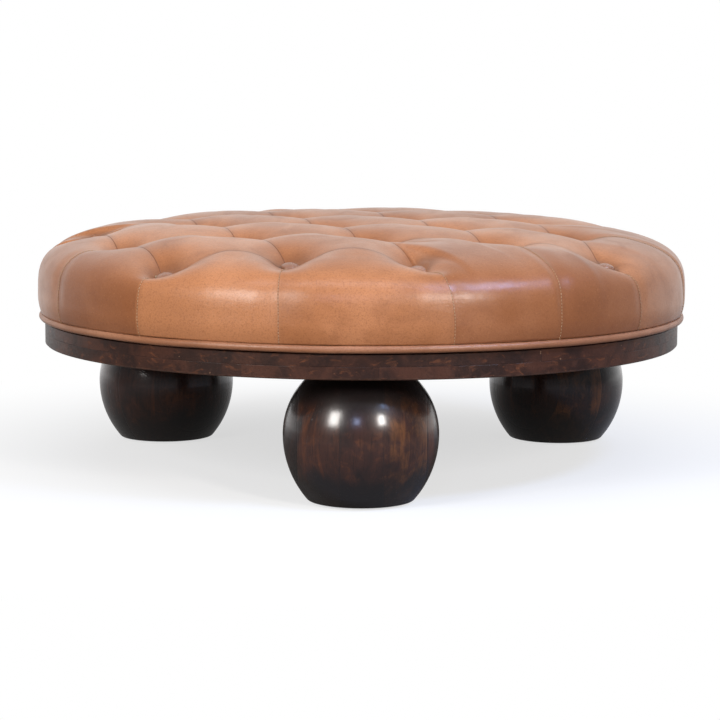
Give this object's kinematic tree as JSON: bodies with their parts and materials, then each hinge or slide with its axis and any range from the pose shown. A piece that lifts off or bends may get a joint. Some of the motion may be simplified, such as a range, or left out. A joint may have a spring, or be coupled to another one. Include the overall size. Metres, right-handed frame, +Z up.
{
  "type": "ottoman coffee table",
  "caption": "Low round ottoman coffee table: a deep-buttoned tan leather cushion with piping on a dark stained board base with turned ball feet.",
  "frame": {"origin": "on the floor under the middle of the round top", "axes": "+Z up, -Y towards the viewer's front foot, +X to the viewer's right"},
  "size_m": [0.8982, 0.9, 0.3384],
  "materials": {
    "tan_leather": "semi-gloss waxed leather with pores and mottling",
    "button_leather": "the same leather, rubbed and darker",
    "stained_ball_wood": "dark walnut stain under satin lacquer",
    "stained_rim_wood": "dark walnut stain, worn along the edges",
    "plywood": "raw plywood",
    "upholstery_foam": "open-cell foam",
    "waxed_twine": "waxed twine",
    "dark_felt": "needled felt",
    "zinc_steel": "zinc-plated"
  },
  "bodies": {
    "root": {"ball_foot_front": "stained_ball_wood", "ball_foot_rear_left": "stained_ball_wood", "ball_foot_rear_right": "stained_ball_wood", "base_lower_board_1": "stained_rim_wood", "base_lower_board_2": "stained_rim_wood", "base_lower_board_3": "stained_rim_wood", "base_lower_board_4": "stained_rim_wood", "base_lower_board_5": "stained_rim_wood", "base_lower_board_6": "stained_rim_wood", "base_upper_board_1": "stained_rim_wood", "base_upper_board_2": "stained_rim_wood", "base_upper_board_3": "stained_rim_wood", "base_upper_board_4": "stained_rim_wood", "base_upper_board_5": "stained_rim_wood", "base_upper_board_6": "stained_rim_wood", "base_upper_board_7": "stained_rim_wood", "hanger_bolts": "zinc_steel", "tee_nuts": "zinc_steel", "deck_screws": "zinc_steel", "hem_staples": "zinc_steel", "twine_staples": "zinc_steel", "felt_pads": "dark_felt", "plywood_deck": "plywood", "leather_hem": "tan_leather", "piping": "tan_leather", "diamond_panels": "tan_leather", "border_panels": "tan_leather", "tufting_buttons": "button_leather", "foam_core": "upholstery_foam", "button_twine": "waxed_twine"}
  },
  "joints": []
}
